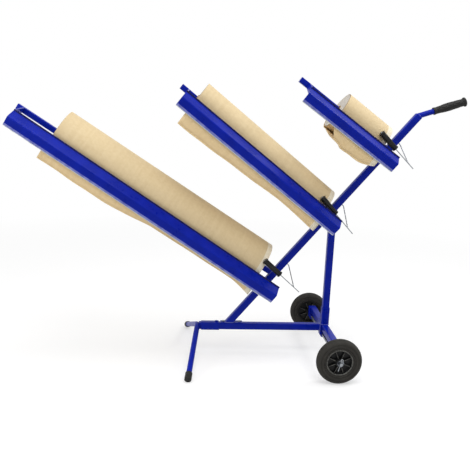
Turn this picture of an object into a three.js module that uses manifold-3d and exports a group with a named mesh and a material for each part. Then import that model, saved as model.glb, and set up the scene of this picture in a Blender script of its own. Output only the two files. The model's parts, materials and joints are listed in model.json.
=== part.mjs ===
// Masking paper dispenser on two wheels: a raked mast carries three roll arms,
// each with a hanging paper roll, a folded cutter bar and a tape holder.
// Millimetres and degrees, +Z up, +X towards the wheels and the handle,
// +Y away from the side that carries the cutter bars.

import * as THREE from 'three';
import { mergeVertices } from 'three/addons/utils/BufferGeometryUtils.js';
import Module from 'manifold-3d';

const wasm = await Module();
wasm.setup();

// Driving dimensions

const gap = 0.3;            // clearance between neighbouring pieces
const overrun = 1.0;        // how far a cutting solid runs past what it cuts

const tubeSide = 25;        // square tube of the frame
const tubeWall = 2;
const tubeCorner = 3;

const baseHeight = 108;     // centre line of the base tube above the floor
const footSpread = 266;     // from the middle to the end of one front leg, sideways
const footReach = 35;       // how far the legs lean out in front of their top
const legDiameter = 20;
const legWall = 1.6;
const legBend = 28;
const capDiameter = 25;
const capLength = 34;
const capEndWall = 4;
const capSole = 1.6;        // depth of the flat that stands on the floor

const socketSide = 30;      // sleeves that the base tube and the strut plug into
const frontSocketStart = 14;
const frontSocketLength = 68;

const axleX = 485;          // wheel axle, measured along the base from the front legs
const beamX = 490;          // square beam above the axle, and the strut on it
const beamClearance = 30;    // from each end of the beam to the wheel's hub
const rodDiameter = 12;
const wheelDiameter = 160;
const wheelTrack = 526;
const tyreWidth = 40;
const rimDiameter = 95;
const rimWidth = 30;
const rimWall = 4;
const hubDiameter = 30;
const hubWidth = 42;
const beamLength = wheelTrack - hubWidth - 2 * beamClearance;
const webThickness = 4;
const ribCount = 8;
const ribThickness = 4;
const washerDiameter = 24;
const washerThickness = 2;
const pinDiameter = 3.2;
const pinLength = 36;
const pinLean = 16;         // the split pin's lean away from plumb
const rodEndMargin = 6;

const eyeWall = 5;          // strap that hangs the axle under the beam
const eyeWidth = 26;

const plugHead = 4;
const plugDepth = 16;

const mastFootX = 120;
const mastAngle = 50.4;     // above the horizontal
const mastLength = 1036;
const mastPlateThickness = 3;
const mastPlateFrontReach = 33;
const mastPlateRearReach = 50;

const strutSocketLength = 66;

const handleDiameter = 20;
const handleWall = 1.6;
const handleAngle = 18.8;   // above the horizontal
const handleReach = 179;    // from the end of the mast to the end of the grip
const gripLength = 123;
const gripWaist = 25;
const gripSwell = 31;
const gripFlange = 34;
const gripEndWall = 6;

const screwDiameter = 6;
const screwHead = 10;       // across the flats of the hexagon
const screwHeadHeight = 4;
const screwLength = 14;

const armSide = 20;         // square tube of the roll arms and of the bars' brackets
const armCorner = 2.5;
const coreBore = 30;        // cardboard tube in the middle of a paper roll
const coreWall = 3.5;
const coreProud = 3;        // how far the tube stands out of each end of the paper
const paperThickness = 1;
const tailSlack = 6;        // how loosely the unrolled paper passes under the roll
const tailRound = 14;       // its bend below the cutting edge

const barDepth = 136;       // from the mast's centre plane out to the cutting edges
const barSheet = 2;         // folded sheet of the cutter bar
const bladeThickness = 1.2;
const bladeWidth = 11;
const bladeProud = 3.5;     // how far the blade shows below the bar's lip
const faceStartRise = 10.5; // folds of the bar's section: heights above the cutting edge
const faceStartProud = 1.4; // and how far they lie out in front of it
const ridgeRise = 36.5;
const ridgeProud = 8;
const ridgeRound = 5;
const topRise = 57.5;
const topSetBack = 25;
const hemHeight = 6;
const tailBehindBlade = 5;
const endPlateThickness = 5; // plate that carries the bar's outer end

const spoolDiameter = 23;
const spoolWaist = 20;
const spoolLength = 78;
const spoolFlange = 5;
const spoolOut = 42;        // from the mast's centre line out to the middle of the spool
const wireDiameter = 3.6;
const wireTilt = 9;         // steeper than the roll arm
const wireReach = 98;       // past the lower end of the spool
const wireJoint = 70;       // where the stay meets the straight wire
const wireCap = 9;
const wireCapHeight = 3;
const stayProud = 9;        // how far the stay stands out of the mast before it bends
const stayInside = 6;       // how far its end passes the middle of the mast

// Sizes of the three roll arms. A roll's start is its gap from the mast. The arm
// and the cutter bar run past the roll's outer end by a spare length, and the bar
// starts behind the mast's centre line. A bar's drop is the depth of its cutting
// edge below the arm, and a spool's rise its height above the arm. A pivot's rise
// is that of the hole in the mast that the tape holder swings in.

const largeRollLength = 860;
const largeRollDiameter = 181;
const largeRollStart = 66.8;
const largeArmSpare = 162.5;
const largeBarSpare = 141.2;
const largeBarBehind = 19;
const largeBarDrop = 73.9;
const largeSpoolRise = 32;
const largePivotRise = 64;

const mediumRollLength = 600;
const mediumRollDiameter = 143;
const mediumRollStart = 39.2;
const mediumArmSpare = 68.1;
const mediumBarSpare = 41.8;
const mediumBarBehind = 24;
const mediumBarDrop = 57.6;
const mediumSpoolRise = 16;
const mediumPivotRise = 54;

const smallRollLength = 200;
const smallRollDiameter = 142;
const smallRollStart = 39.4;
const smallArmSpare = 172.9;
const smallBarSpare = 140.6;
const smallBarBehind = 19;
const smallBarDrop = 71.5;
const smallSpoolRise = 15;
const smallPivotRise = 46;

// One row for each arm. Its station is its place along the mast, its droop its sag
// below square and barTilt the bar's lift from the arm's line, both in degrees.

const stationShares = { large: 0.24035, medium: 0.54083, small: 0.84064 };

const dispensers = [
  {
    name: 'large', station: stationShares.large * mastLength, droop: 7.4, barTilt: 0.76,
    rollLength: largeRollLength, rollDiameter: largeRollDiameter, rollStart: largeRollStart,
    armSpare: largeArmSpare, barSpare: largeBarSpare, barBehind: largeBarBehind,
    bladeDrop: largeBarDrop, spoolRise: largeSpoolRise, pivotRise: largePivotRise,
  },
  {
    name: 'medium', station: stationShares.medium * mastLength, droop: 1.9, barTilt: -0.45,
    rollLength: mediumRollLength, rollDiameter: mediumRollDiameter, rollStart: mediumRollStart,
    armSpare: mediumArmSpare, barSpare: mediumBarSpare, barBehind: mediumBarBehind,
    bladeDrop: mediumBarDrop, spoolRise: mediumSpoolRise, pivotRise: mediumPivotRise,
  },
  {
    name: 'small', station: stationShares.small * mastLength, droop: 4.8, barTilt: -0.3,
    rollLength: smallRollLength, rollDiameter: smallRollDiameter, rollStart: smallRollStart,
    armSpare: smallArmSpare, barSpare: smallBarSpare, barBehind: smallBarBehind,
    bladeDrop: smallBarDrop, spoolRise: smallSpoolRise, pivotRise: smallPivotRise,
  },
];

const rollEnd = (arm) => arm.rollStart + arm.rollLength;
const armLength = (arm) => rollEnd(arm) + arm.armSpare;
const barLength = (arm) => rollEnd(arm) + arm.barSpare + arm.barBehind;

// How deep the loose paper hangs in front. First number: share of the roll's
// length, from its mast end. Second: share of the cutting edge's drop below the arm.

const tailShares = {
  large: [[0, 1.29], [0.05, 1.15], [0.11, 1.03], [0.25, 0.98], [0.39, 1], [0.49, 1.07], [0.57, 1.17],
    [0.71, 1.28], [0.86, 1.25], [1, 1.21]],
  medium: [[0, 1.52], [0.12, 1.46], [0.27, 1.43], [0.45, 1.52], [0.63, 1.62], [0.8, 1.71], [1, 1.78]],
  small: [[0, 1.22], [0.1, 1.36], [0.28, 1.53], [0.5, 1.56], [0.7, 1.58], [0.76, 1.5], [1, 1.43]],
};

// Rounding of curves

const cornerSteps = 2;
const rodSides = 24;
const wheelSides = 40;
const rollSides = 48;
const spoolSides = 20;
const wireSides = 8;
const legSteps = 30;
const tailSteps = 20;
const mergeTolerance = 1e-3;

const degree = Math.PI / 180;

// Materials, in the colours of the photograph

function finish(color, roughness, metalness) {
  return () => new THREE.MeshStandardMaterial({ color, roughness, metalness });
}

const bluePaint = finish(0x1a2a9c, 0.35, 0.1);
const zinc = finish(0xb4b8bc, 0.35, 0.9);
const bladeSteel = finish(0xdcdfe2, 0.25, 1.0);
const rubber = finish(0x3a3936, 0.85, 0.0);
const blackPlastic = finish(0x1c1c1e, 0.5, 0.0);
const kraftPaper = finish(0xd8c39a, 0.9, 0.0);
const cardboard = finish(0xa98a5e, 0.95, 0.0);

// Solids: turning a geometry into a closed body that can be cut, and back

function solidOf(geometry) {
  const bare = geometry.clone();
  bare.deleteAttribute('normal');
  bare.deleteAttribute('uv');
  const merged = mergeVertices(bare, mergeTolerance);
  return new wasm.Manifold(new wasm.Mesh({
    numProp: 3,
    vertProperties: Float32Array.from(merged.attributes.position.array),
    triVerts: Uint32Array.from(merged.index.array),
  }));
}

function geometryOf(solid) {
  const mesh = solid.getMesh();
  const geometry = new THREE.BufferGeometry();
  geometry.setAttribute('position', new THREE.BufferAttribute(mesh.vertProperties, mesh.numProp));
  geometry.setIndex(new THREE.BufferAttribute(mesh.triVerts, 1));
  geometry.computeVertexNormals();
  return geometry;
}

function cut(geometry, ...tools) {
  return geometryOf(tools.reduce((solid, tool) => solid.subtract(solidOf(tool)), solidOf(geometry)));
}

function join(...pieces) {
  return geometryOf(pieces.slice(1).reduce((solid, piece) => solid.add(solidOf(piece)), solidOf(pieces[0])));
}

// Outlines

function roundedSquare(side, corner) {
  const half = side / 2;
  const inner = half - corner;
  const shape = new THREE.Shape();
  shape.absarc(inner, inner, corner, 0, 90 * degree);
  shape.absarc(-inner, inner, corner, 90 * degree, 180 * degree);
  shape.absarc(-inner, -inner, corner, 180 * degree, 270 * degree);
  shape.absarc(inner, -inner, corner, 270 * degree, 360 * degree);
  return shape;
}

function polygon(points) {
  return new THREE.Shape(points.map(([x, y]) => new THREE.Vector2(x, y)));
}

// Basic pieces. Each runs along +Z from its start.

function extrude(shape, length) {
  return new THREE.ExtrudeGeometry(shape, { depth: length, bevelEnabled: false, curveSegments: cornerSteps });
}

function squareTube(side, wall, corner, length) {
  const shape = roundedSquare(side, corner);
  shape.holes.push(roundedSquare(side - 2 * wall, Math.max(corner - wall, wall / 4)));
  return extrude(shape, length);
}

function box(x, y, z) {
  return new THREE.BoxGeometry(x, y, z);
}

function turned(profile, sides) {
  const points = profile.map(([radius, along]) => new THREE.Vector2(radius, along));
  return new THREE.LatheGeometry(points, sides).rotateX(90 * degree);
}

function rod(radius, length, sides = rodSides) {
  return turned([[0, 0], [radius, 0], [radius, length], [0, length]], sides);
}

function ring(outer, inner, length, sides) {
  return turned([[inner, 0], [outer, 0], [outer, length], [inner, length], [inner, 0]], sides);
}

function hexagon(acrossFlats, height) {
  return rod(acrossFlats / 2 / Math.cos(30 * degree), height, 6);
}

// Sheet whose section changes along +Z. Each outline runs along one side of the
// section and back along the other, and all have the same number of points.
function loft(outlines, places) {
  const count = outlines[0].length;
  const positions = outlines.flatMap((outline, row) => outline.flatMap(([x, y]) => [x, y, places[row]]));
  const last = count * (outlines.length - 1);
  const indices = [];
  for (let start = 0; start < last; start += count) {
    for (let column = 0; column < count; column += 1) {
      const here = start + column;
      const next = start + (column + 1) % count;
      indices.push(here, next, next + count, here, next + count, here + count);
    }
  }
  for (let near = 0; near < count / 2 - 1; near += 1) {
    const far = count - 1 - near;
    indices.push(near, far, far - 1, near, far - 1, near + 1);
    indices.push(last + near, last + near + 1, last + far - 1, last + near, last + far - 1, last + far);
  }
  const geometry = new THREE.BufferGeometry();
  geometry.setAttribute('position', new THREE.Float32BufferAttribute(positions, 3));
  geometry.setIndex(indices);
  return geometry;
}

function capsule(start, end, radius) {
  const along = new THREE.Vector3().subVectors(end, start);
  const upright = new THREE.Vector3(0, 0, 1);
  const turn = new THREE.Quaternion().setFromUnitVectors(upright, along.clone().normalize());
  const piece = rod(radius, along.length(), wireSides).applyQuaternion(turn);
  return piece.translate(start.x, start.y, start.z);
}

function ball(centre, radius) {
  return new THREE.SphereGeometry(radius, wireSides, wireSides / 2).translate(centre.x, centre.y, centre.z);
}

function bentTube(points, bend, outer, inner, steps) {
  const [start, corner, end] = points;
  const before = corner.clone().lerp(start, bend / corner.distanceTo(start));
  const after = corner.clone().lerp(end, bend / corner.distanceTo(end));
  const path = new THREE.CurvePath();
  path.add(new THREE.LineCurve3(start, before));
  path.add(new THREE.QuadraticBezierCurve3(before, corner, after));
  path.add(new THREE.LineCurve3(after, end));
  const shape = new THREE.Shape().absarc(0, 0, outer, 0, 360 * degree);
  if (inner > 0) shape.holes.push(new THREE.Path().absarc(0, 0, inner, 0, 360 * degree));
  return new THREE.ExtrudeGeometry(shape, { steps, extrudePath: path, curveSegments: rodSides / 4 });
}

// Hexagon-headed screw: the head stands above z = 0 and the shank goes down

function screwGeometry() {
  const shank = rod(screwDiameter / 2, screwLength + overrun).translate(0, 0, -screwLength);
  return join(hexagon(screwHead, screwHeadHeight), shank);
}

function screwHole(depth) {
  return rod(screwDiameter / 2 + gap, depth + 2 * overrun).translate(0, 0, -depth - overrun);
}

function mesh(name, geometry, material) {
  const piece = new THREE.Mesh(geometry, material());
  piece.name = name;
  return piece;
}

// Base: the tube along the floor, its front socket and the two front legs

const baseTop = baseHeight + tubeSide / 2;
const socketBore = tubeSide + 2 * gap;
const socketWall = (socketSide - socketBore) / 2;
const socketCorner = tubeCorner + socketWall;
const legRadius = legDiameter / 2;
const footRise = (capDiameter - capSole) / 2;
const footTip = (side) => new THREE.Vector3(-footReach, side * footSpread, footRise);
const legTop = new THREE.Vector3(0, 0, baseHeight + legBend / 6);
const legDirection = (side) => new THREE.Vector3().subVectors(footTip(side), legTop).normalize();

function legsAlong(outer, inner) {
  return bentTube([footTip(-1), legTop, footTip(1)], legBend, outer, inner, legSteps);
}

function socket(length) {
  return squareTube(socketSide, socketWall, socketCorner, length);
}

const eyeInner = rodDiameter / 2 + gap;
const eyeOuter = eyeInner + eyeWall;
const strapFace = beamX - tubeSide / 2 - gap;
const baseEnd = strapFace - eyeWall - gap;
const mastPlateStart = mastFootX - mastPlateFrontReach;
const mastPlateEnd = mastFootX + mastPlateRearReach;
const mastScrewPlaces = [mastPlateStart + screwHead, mastPlateEnd - screwHead];

function alongX(geometry, x, z) {
  return geometry.rotateY(90 * degree).translate(x, 0, z);
}

function baseTube() {
  const tube = alongX(squareTube(tubeSide, tubeWall, tubeCorner, baseEnd), 0, baseHeight);
  const beforeLegs = box(legDiameter, tubeSide * 2, tubeSide * 2).translate(-legRadius / 2, 0, baseHeight);
  const holes = mastScrewPlaces.map((x) => screwHole(screwLength).translate(x, 0, baseTop));
  return mesh('base_tube', cut(tube, beforeLegs, legsAlong(legRadius + gap, 0), ...holes), bluePaint);
}

function frontSocket() {
  const sleeve = alongX(socket(frontSocketLength), frontSocketStart, baseHeight);
  const nutPlace = frontSocketStart + frontSocketLength - screwHead;
  const nut = hexagon(screwHead, screwHeadHeight + overrun / 2)
    .translate(nutPlace, 0, baseHeight + socketSide / 2 - overrun / 2);
  return mesh('front_socket', join(sleeve, nut), bluePaint);
}

function footTube() {
  return mesh('foot_tube', cut(legsAlong(legRadius, legRadius - legWall)), bluePaint);
}

function footCap(side, name) {
  const out = legDirection(side);
  const turn = new THREE.Quaternion().setFromUnitVectors(new THREE.Vector3(0, 0, 1), out);
  const tip = footTip(side);
  const outer = capDiameter / 2;
  const bore = legRadius + gap;
  const mouth = capEndWall - capLength;
  const round = outer / 6;
  const cap = turned([[bore, mouth], [outer - round, mouth], [outer, mouth + round],
    [outer, capEndWall - round], [outer - round, capEndWall], [0, capEndWall], [0, gap], [bore, gap],
    [bore, mouth]], rodSides);
  cap.applyQuaternion(turn).translate(tip.x, tip.y, tip.z);
  const floor = box(capLength * 4, capLength * 4, capLength).translate(tip.x, tip.y, -capLength / 2);
  return mesh(name, cut(cap, floor), rubber);
}

// Wheels: axle beam, hanging straps, axle rod, wheels, washers and split pins

const axleHeight = wheelDiameter / 2;
const hubFace = (wheelTrack + hubWidth) / 2;
const washerStart = hubFace + gap;
const pinPlace = washerStart + washerThickness + gap + pinDiameter / 2;
const rodHalf = pinPlace + pinDiameter / 2 + rodEndMargin;

function alongY(geometry, x, y, z) {
  return geometry.rotateX(-90 * degree).translate(x, y, z);
}

function axleBeam() {
  const tube = squareTube(tubeSide, tubeWall, tubeCorner, beamLength);
  return mesh('axle_beam', alongY(tube, beamX, -beamLength / 2, baseHeight), bluePaint);
}

function plug(side, corner) {
  const bore = side - 2 * tubeWall - 2 * gap;
  const head = extrude(roundedSquare(side, corner), plugHead).translate(0, 0, gap);
  const stem = extrude(roundedSquare(bore, tubeWall), plugDepth + overrun).translate(0, 0, -plugDepth);
  return join(head, stem);
}

function beamPlug(side, name) {
  const piece = plug(tubeSide, tubeCorner).rotateX(-side * 90 * degree);
  return mesh(name, piece.translate(beamX, side * beamLength / 2, baseHeight), blackPlastic);
}

function pinHole(place) {
  const hole = rod(pinDiameter / 2 + gap, rodDiameter * 2, wireSides * 2).translate(0, 0, -rodDiameter);
  return hole.rotateY(pinLean * degree).translate(axleX, place, axleHeight);
}

function axleRod() {
  const bar = alongY(rod(rodDiameter / 2, 2 * rodHalf), axleX, -rodHalf, axleHeight);
  return mesh('axle_rod', cut(bar, pinHole(-pinPlace), pinHole(pinPlace)), zinc);
}

// Strap: a flat leg on the beam's side with an eye round the axle below it

function axleEye(place, name) {
  const legHeight = baseTop - axleHeight;
  const leg = box(eyeWall, eyeWidth, legHeight)
    .translate(strapFace - eyeWall / 2, place, axleHeight + legHeight / 2);
  const start = place - eyeWidth / 2;
  const eye = alongY(rod(eyeOuter, eyeWidth), axleX, start, axleHeight);
  const bore = alongY(rod(eyeInner, eyeWidth + 2 * overrun), axleX, start - overrun, axleHeight);
  return mesh(name, cut(join(leg, eye), bore), bluePaint);
}

function wheelBody(side, name) {
  const rimOuter = rimDiameter / 2;
  const rimInner = rimOuter - rimWall;
  const bore = rodDiameter / 2 + gap;
  const hub = rod(hubDiameter / 2, hubWidth, wheelSides).translate(0, 0, -hubWidth / 2);
  const rim = ring(rimOuter, rimInner, rimWidth, wheelSides).translate(0, 0, -rimWidth / 2);
  const web = rod(rimInner + rimWall / 2, webThickness, wheelSides).translate(0, 0, -webThickness / 2);
  const ribDepth = rimWidth * 0.8;
  const ribs = Array.from({ length: ribCount }, (_, index) => box(rimInner, ribThickness, ribDepth)
    .translate(rimInner / 2 + rimWall / 4, 0, 0).rotateZ((index + 0.5) * 360 * degree / ribCount));
  const hole = rod(bore, hubWidth + 2 * overrun).translate(0, 0, -hubWidth / 2 - overrun);
  const body = cut(join(hub, rim, web, ...ribs), hole);
  return mesh(name, alongY(body, axleX, side * wheelTrack / 2, axleHeight), blackPlastic);
}

function tyre(side, name) {
  const bore = rimDiameter / 2 + gap;
  const depth = wheelDiameter / 2 - bore;
  const half = tyreWidth / 2;
  const flankShares = [[0, 0.72], [0.08, 0.9], [0.35, 1], [0.68, 0.95], [0.88, 0.74], [0.98, 0.38],
    [1, 0.12]];
  const flank = flankShares.map(([out, wide]) => [bore + out * depth, wide * half]);
  const mirrored = flank.map(([radius, along]) => [radius, -along]);
  const profile = [...mirrored, ...flank.reverse(), mirrored[0]];
  return mesh(name, alongY(turned(profile, wheelSides), axleX, side * wheelTrack / 2, axleHeight), rubber);
}

function washer(side, name) {
  const flat = ring(washerDiameter / 2, rodDiameter / 2 + gap, washerThickness, rodSides);
  const place = side * (washerStart + washerThickness / 2) - washerThickness / 2;
  return mesh(name, alongY(flat, axleX, place, axleHeight), zinc);
}

function splitPin(side, name) {
  const eyeRadius = pinDiameter * 1.2;
  const neck = rodDiameter / 2 + pinDiameter;
  const tail = rod(pinDiameter / 2, pinLength, wireSides * 2).translate(0, 0, neck - pinLength);
  const eye = new THREE.TorusGeometry(eyeRadius, pinDiameter / 2, wireSides, wireSides * 2)
    .rotateX(90 * degree).translate(0, 0, neck + eyeRadius);
  const pin = join(tail, eye).rotateY(pinLean * degree).translate(axleX, side * pinPlace, axleHeight);
  return mesh(name, pin, zinc);
}

// Mast, its foot plate, the strut and its socket, the handle and its grip.
// The mast's own frame has +Z up along it, and +X on its underside.

const mastTurn = (90 - mastAngle) * degree;
const mastFootZ = baseTop + 2 * gap + mastPlateThickness;

function inMastFrame(geometry) {
  return geometry.rotateY(mastTurn).translate(mastFootX, 0, mastFootZ);
}

function mastPlate() {
  const length = mastPlateEnd - mastPlateStart;
  const plate = box(length, tubeSide, mastPlateThickness)
    .translate(mastPlateStart + length / 2, 0, baseTop + gap + mastPlateThickness / 2);
  const holes = mastScrewPlaces.map((x) => screwHole(screwLength).translate(x, 0, mastFootZ));
  return mesh('mast_foot_plate', cut(plate, ...holes), bluePaint);
}

function mastScrew(index, name) {
  const screw = screwGeometry().translate(mastScrewPlaces[index], 0, mastFootZ);
  return mesh(name, screw, zinc);
}

// Holes in the underside of the mast that the tape holders swing in
function pivotHole(arm) {
  return rod(wireDiameter / 2 + gap, tubeSide, wireSides * 2).rotateY(90 * degree)
    .translate(0, 0, arm.station + arm.pivotRise);
}

function mast() {
  const tube = squareTube(tubeSide, tubeWall, tubeCorner, mastLength + tubeSide).translate(0, 0, -tubeSide);
  const endWall = extrude(roundedSquare(tubeSide, tubeCorner), tubeWall)
    .translate(0, 0, mastLength - tubeWall);
  const below = box(mastFootX, tubeSide * 2, tubeSide * 4).translate(mastFootX, 0, mastFootZ - tubeSide * 2);
  const drilled = cut(join(tube, endWall), ...dispensers.map(pivotHole));
  return mesh('mast', cut(inMastFrame(drilled), below), bluePaint);
}

const strutScrewHeights = [baseTop + strutSocketLength * 0.2, baseTop + strutSocketLength * 0.82];

function strutScrewHoles(depth) {
  const hole = screwHole(depth).rotateX(90 * degree).translate(beamX, -socketSide / 2, 0);
  return strutScrewHeights.map((height) => hole.clone().translate(0, 0, height));
}

function strutSocket() {
  const sleeve = socket(strutSocketLength).translate(beamX, 0, baseTop + gap);
  return mesh('strut_socket', cut(sleeve, ...strutScrewHoles(screwLength)), bluePaint);
}

function strutScrew(index, name) {
  const screw = screwGeometry().rotateX(90 * degree);
  return mesh(name, screw.translate(beamX, -socketSide / 2 - gap, strutScrewHeights[index]), bluePaint);
}

function strut() {
  const start = baseTop + 2 * gap;
  const length = mastLength * Math.sin(mastAngle * degree);
  const tube = squareTube(tubeSide, tubeWall, tubeCorner, length).translate(beamX, 0, start);
  const reach = mastLength * 2;
  const above = inMastFrame(box(reach, tubeSide * 2, reach).translate(tubeSide / 2 + gap - reach / 2, 0, 0));
  return mesh('strut', cut(tube, above, ...strutScrewHoles(screwLength)), bluePaint);
}

const handleTurn = (mastAngle - handleAngle) * degree;

function alongHandle(geometry) {
  return geometry.rotateY(handleTurn).translate(0, 0, mastLength);
}

function handleTube() {
  const outer = handleDiameter / 2;
  const end = handleReach - gripEndWall - gap;
  const tube = ring(outer, outer - handleWall, end + handleDiameter, rodSides);
  tube.translate(0, 0, -handleDiameter);
  const inMast = box(tubeSide * 4, tubeSide * 4, tubeSide * 4)
    .translate(0, 0, mastLength + gap - tubeSide * 2);
  return mesh('handle_tube', inMastFrame(cut(alongHandle(tube), inMast)), bluePaint);
}

function handleGrip() {
  const bore = handleDiameter / 2 + gap;
  const widths = [gripWaist * 1.08, gripWaist * 1.08, gripWaist, gripSwell, gripSwell * 0.97, gripWaist * 1.1,
    gripFlange, gripFlange, gripFlange * 0.8];
  const alongShares = [0, 0.04, 0.08, 0.42, 0.6, 0.93, 0.95, 0.985, 1];
  const start = handleReach - gripLength;
  const inside = handleReach - gripEndWall;
  const skin = widths.map((width, index) => [width / 2, start + alongShares[index] * gripLength]);
  const profile = [[bore, start], ...skin, [0, handleReach], [0, inside], [bore, inside], [bore, start]];
  return mesh('handle_grip', inMastFrame(alongHandle(turned(profile, rodSides))), rubber);
}

// Roll arms. Each arm's own frame starts where its centre line meets the
// mast's. There +Z points out along the arm, +X is square to it up the
// mast and +Y is still away from the cutter bar.

const armTurn = (arm) => (90 + arm.droop) * degree;

function armMesh(name, arm, geometry, material) {
  const onMast = geometry.rotateY(-armTurn(arm)).translate(0, 0, arm.station);
  return mesh(`${name}_${arm.name}`, inMastFrame(onMast), material);
}

// A point given in the mast's frame, measured from the arm's station, in the arm's frame
function mastPoint(arm, across, along) {
  return new THREE.Vector3(across, 0, along).applyAxisAngle(new THREE.Vector3(0, 1, 0), armTurn(arm));
}

function mastEnvelope(arm) {
  const side = tubeSide + 2 * gap;
  return box(side, side, side * 4).rotateY(armTurn(arm));
}

function mandrel(arm) {
  const tube = squareTube(armSide, tubeWall, armCorner, armLength(arm));
  const endWall = extrude(roundedSquare(armSide, armCorner), tubeWall)
    .translate(0, 0, armLength(arm) - tubeWall);
  return armMesh('mandrel', arm, cut(join(tube, endWall), mastEnvelope(arm)), bluePaint);
}

// A roll hangs with its tube's bore on the two upper corners of the arm
const cornerFlat = armSide / 2 - armCorner;
const rollHang = Math.sqrt((coreBore / 2 - gap - armCorner) ** 2 - cornerFlat ** 2) - cornerFlat;

function rollCore(arm) {
  const tube = ring(coreBore / 2 + coreWall, coreBore / 2, arm.rollLength + 2 * coreProud, rodSides);
  return armMesh('roll_core', arm, tube.translate(-rollHang, 0, arm.rollStart - coreProud), cardboard);
}

function paperRoll(arm) {
  const bore = coreBore / 2 + coreWall + gap;
  const paper = ring(arm.rollDiameter / 2, bore, arm.rollLength, rollSides);
  return armMesh('paper_roll', arm, paper.translate(-rollHang, 0, arm.rollStart), kraftPaper);
}

// Height of the cutting edge at one place along the arm
function edgeHeight(arm, place) {
  return place * Math.tan(arm.barTilt * degree) - arm.bladeDrop;
}

// Paper drawn off the roll: it leaves the back, sags under the roll and comes
// up behind the cutting edge. The path is its inner side at one place along the roll.
function tailPath(arm, place, fall) {
  const radius = arm.rollDiameter / 2 + 2 * gap;
  const turnShares = [0, 0.2, 0.4, 0.6, 0.8, 1];
  const underRoll = turnShares.map((share) => {
    const reach = radius + share * tailSlack;
    const turn = share * 100 * degree;
    return [-rollHang - reach * Math.sin(turn), reach * Math.cos(turn)];
  });
  const front = -barDepth + tailBehindBlade + paperThickness;
  const edge = edgeHeight(arm, place);
  const low = Math.min(fall + paperThickness, edge - tailRound / 2);
  const rise = [[low, front + tailRound], [low + tailRound / 4, front + tailRound / 4],
    [low + tailRound, front], [Math.max(edge + bladeWidth / 2, low + tailRound * 1.3), front]];
  const points = [...underRoll, ...rise].map(([height, depth]) => new THREE.Vector2(height, depth));
  return new THREE.SplineCurve(points).getPoints(tailSteps).map(({ x, y }) => [x, y]);
}

function paperTail(arm) {
  const end = gap * 2;
  const rows = tailShares[arm.name].map(([share, fallShare]) => {
    const place = arm.rollStart + end + share * (arm.rollLength - 2 * end);
    const path = tailPath(arm, place, -fallShare * arm.bladeDrop);
    return { place, outline: [...offsetPath(path, -paperThickness), ...path.reverse()] };
  });
  const sheet = loft(rows.map(({ outline }) => outline), rows.map(({ place }) => place));
  return armMesh('paper_tail', arm, sheet, kraftPaper);
}

// Cutter bar, in its arm's frame: a sheet folded into a lip, a front face,
// a rounded ridge, a top face and a hem. The cutting edge is its lowest line.

const lipEdge = [bladeProud, 0];
const faceStart = [faceStartRise, -faceStartProud];
const ridge = [ridgeRise, -ridgeProud];
const topEnd = [topRise, topSetBack];

function towards([x, y], [toX, toY], distance) {
  const share = distance / Math.hypot(toX - x, toY - y);
  return [x + share * (toX - x), y + share * (toY - y)];
}

function barPath() {
  const corners = [towards(ridge, faceStart, ridgeRound), ridge, towards(ridge, topEnd, ridgeRound)];
  const curve = new THREE.QuadraticBezierCurve(...corners.map(([x, y]) => new THREE.Vector2(x, y)));
  const rounded = curve.getPoints(cornerSteps * 2).map(({ x, y }) => [x, y]);
  return [lipEdge, faceStart, ...rounded, topEnd, [topRise + hemHeight, topSetBack]];
}

// Same path moved sideways, towards the roll where the distance is positive
function offsetPath(path, distance) {
  return path.map((point, index) => {
    const neighbours = [path[index - 1], point, path[index + 1]].filter((place) => place);
    const normals = neighbours.slice(1).map(([x, y], step) => {
      const [fromX, fromY] = neighbours[step];
      const length = Math.hypot(x - fromX, y - fromY);
      return [(fromY - y) / length, (x - fromX) / length];
    });
    const sum = normals.reduce((total, [x, y]) => [total[0] + x, total[1] + y], [0, 0]);
    const scale = distance * normals.length / (sum[0] ** 2 + sum[1] ** 2);
    return [point[0] + sum[0] * scale, point[1] + sum[1] * scale];
  });
}

function onBladeLine(arm, geometry) {
  return geometry.translate(-arm.bladeDrop, -barDepth, 0).rotateY(arm.barTilt * degree);
}

function cutterBar(arm) {
  const outside = barPath();
  const inside = offsetPath(outside, barSheet).reverse();
  const bar = extrude(polygon([...outside, ...inside]), barLength(arm));
  return armMesh('cutter_bar', arm, onBladeLine(arm, bar.translate(0, 0, -arm.barBehind)), bluePaint);
}

// Steel blade behind the lip, ground to an edge along its lower side
function cutterBlade(arm) {
  const tip = towards(lipEdge, faceStart, -bladeProud);
  const back = towards(tip, faceStart, bladeWidth);
  const [frontTip, frontBack] = offsetPath([tip, back], barSheet + gap);
  const [rearTip, rearBack] = offsetPath([tip, back], barSheet + gap + bladeThickness);
  const shoulder = towards(rearTip, rearBack, bladeThickness * 2);
  const length = barLength(arm) - 2 * gap;
  const strip = extrude(polygon([frontTip, frontBack, rearBack, shoulder]), length)
    .translate(0, 0, gap - arm.barBehind);
  return armMesh('cutter_blade', arm, onBladeLine(arm, strip), bladeSteel);
}

// Bracket: a stub of square tube from the mast's front face to the inside of the bar
function barBracket(arm) {
  const height = (faceStartRise + ridgeRise) / 2 - arm.bladeDrop;
  const beside = -height * Math.tan(arm.droop * degree);
  const start = -tubeSide / 2 - gap;
  const stub = squareTube(armSide, tubeWall, armCorner, barDepth + start + ridgeProud)
    .rotateX(90 * degree).translate(height, start, beside);
  const faceLine = [towards(faceStart, ridge, -armSide), towards(ridge, faceStart, -armSide)];
  const [low, high] = offsetPath(faceLine, barSheet + gap);
  const outer = -ridgeProud * 4;
  const section = polygon([low, [low[0], outer], [high[0], outer], high]);
  const ahead = extrude(section, armSide * 4).translate(0, 0, -armSide * 2);
  return armMesh('bar_bracket', arm, cut(stub, onBladeLine(arm, ahead)), bluePaint);
}

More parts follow.
